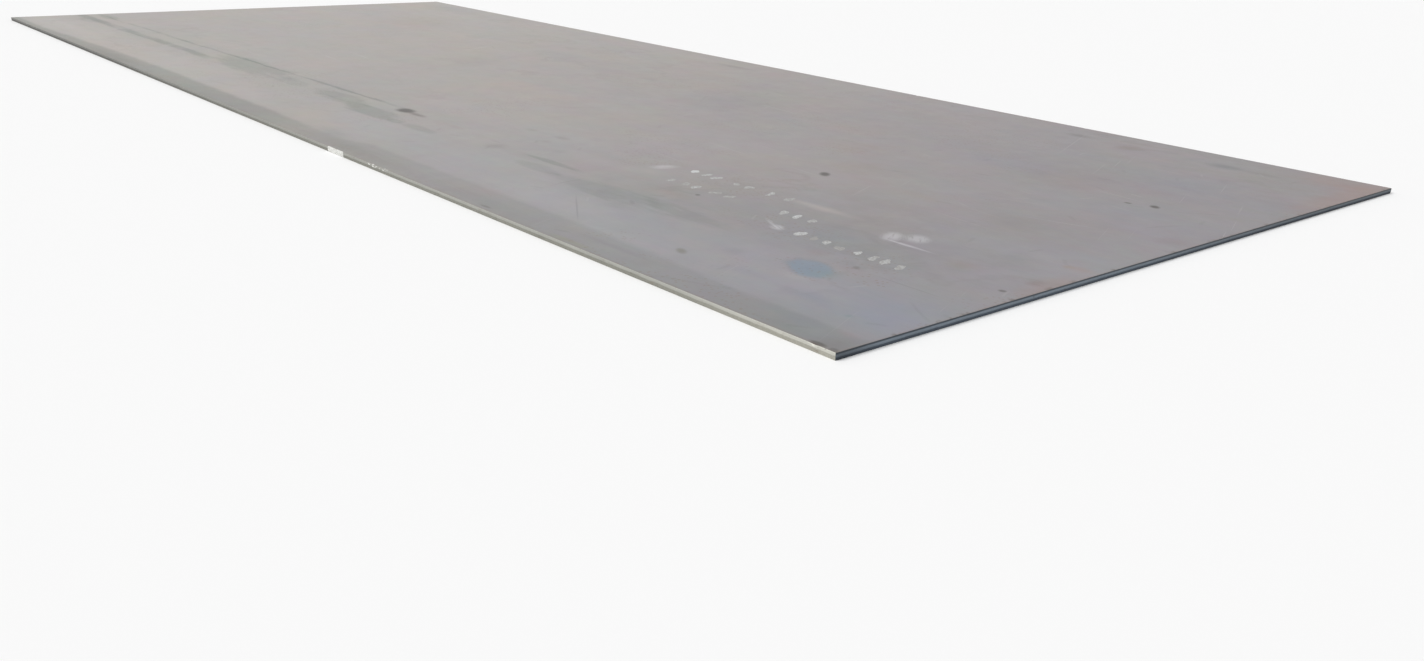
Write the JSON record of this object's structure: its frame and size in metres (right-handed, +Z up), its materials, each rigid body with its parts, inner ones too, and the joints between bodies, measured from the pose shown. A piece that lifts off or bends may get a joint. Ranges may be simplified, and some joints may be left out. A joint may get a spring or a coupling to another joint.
{
  "type": "steel plate",
  "caption": "Heavy hot-rolled steel plate, flat and rectangular, with sheared edges: rolled-over top arris, polished band, torn lower zone leaning in.",
  "frame": {"origin": "middle of the underside, which lies on the floor", "axes": "+X along the length, which is the rolling direction, +Y across the width, +Z up through the thickness"},
  "size_m": [6, 2.5, 0.016],
  "materials": {
    "mill_steel": "satin grey mill scale with light staining, bare sheared edges"
  },
  "bodies": {
    "root": {"steel_plate": "mill_steel"}
  },
  "joints": []
}
